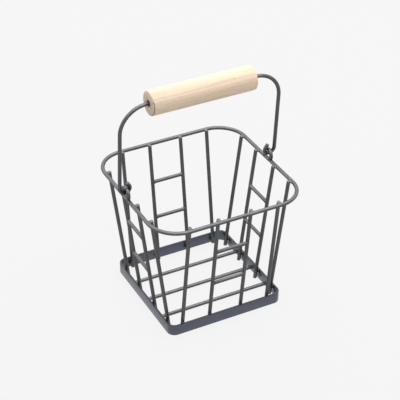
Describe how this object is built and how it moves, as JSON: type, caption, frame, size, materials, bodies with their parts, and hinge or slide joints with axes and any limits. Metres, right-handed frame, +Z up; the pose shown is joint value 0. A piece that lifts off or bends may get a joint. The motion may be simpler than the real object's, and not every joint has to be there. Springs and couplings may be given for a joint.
{
  "type": "egg basket",
  "caption": "Square tapered egg basket of dark grey coated steel wire on a flat base band, with a hooked wire bail that swings over the rim and a loose turned wooden grip.",
  "frame": {"origin": "on the ground, under the middle of the basket", "axes": "+Z up; +X along the bail's swing axis from the left eye to the right eye; the front faces -Y"},
  "size_m": [0.1836, 0.17, 0.2611],
  "materials": {
    "coated_wire": "dark grey satin powder coat",
    "beech": "pale beech, sanded and left matt"
  },
  "bodies": {
    "basket": {"top_rim": "coated_wire", "base_band": "coated_wire", "front_upright_1": "coated_wire", "front_upright_2": "coated_wire", "front_upright_3": "coated_wire", "front_upright_4": "coated_wire", "front_upper_rung": "coated_wire", "front_lower_rung": "coated_wire", "right_upright_1": "coated_wire", "right_upright_2": "coated_wire", "right_upright_3": "coated_wire", "right_upright_4": "coated_wire", "right_upper_rung": "coated_wire", "right_lower_rung": "coated_wire", "back_upright_1": "coated_wire", "back_upright_2": "coated_wire", "back_upright_3": "coated_wire", "back_upright_4": "coated_wire", "back_upper_rung": "coated_wire", "back_lower_rung": "coated_wire", "left_upright_1": "coated_wire", "left_upright_2": "coated_wire", "left_upright_3": "coated_wire", "left_upright_4": "coated_wire", "left_upper_rung": "coated_wire", "left_lower_rung": "coated_wire", "floor_wire_front": "coated_wire", "floor_wire_middle": "coated_wire", "floor_wire_back": "coated_wire", "left_eye": "coated_wire", "right_eye": "coated_wire"},
    "bail": {"bail": "coated_wire"},
    "grip": {"grip": "beech"}
  },
  "joints": [
    {"name": "bail_swing", "type": "hinge", "parent": "basket", "child": "bail", "pos_m": [0, 0, 0.1456], "axis": [1, 0, 0], "range_deg": [-98.7, 90.3]},
    {"name": "grip_spin", "type": "hinge", "parent": "bail", "child": "grip", "pos_m": [-0.0013, -0.00754, 0.24822], "axis": [1, 0, 0], "continuous": true}
  ]
}
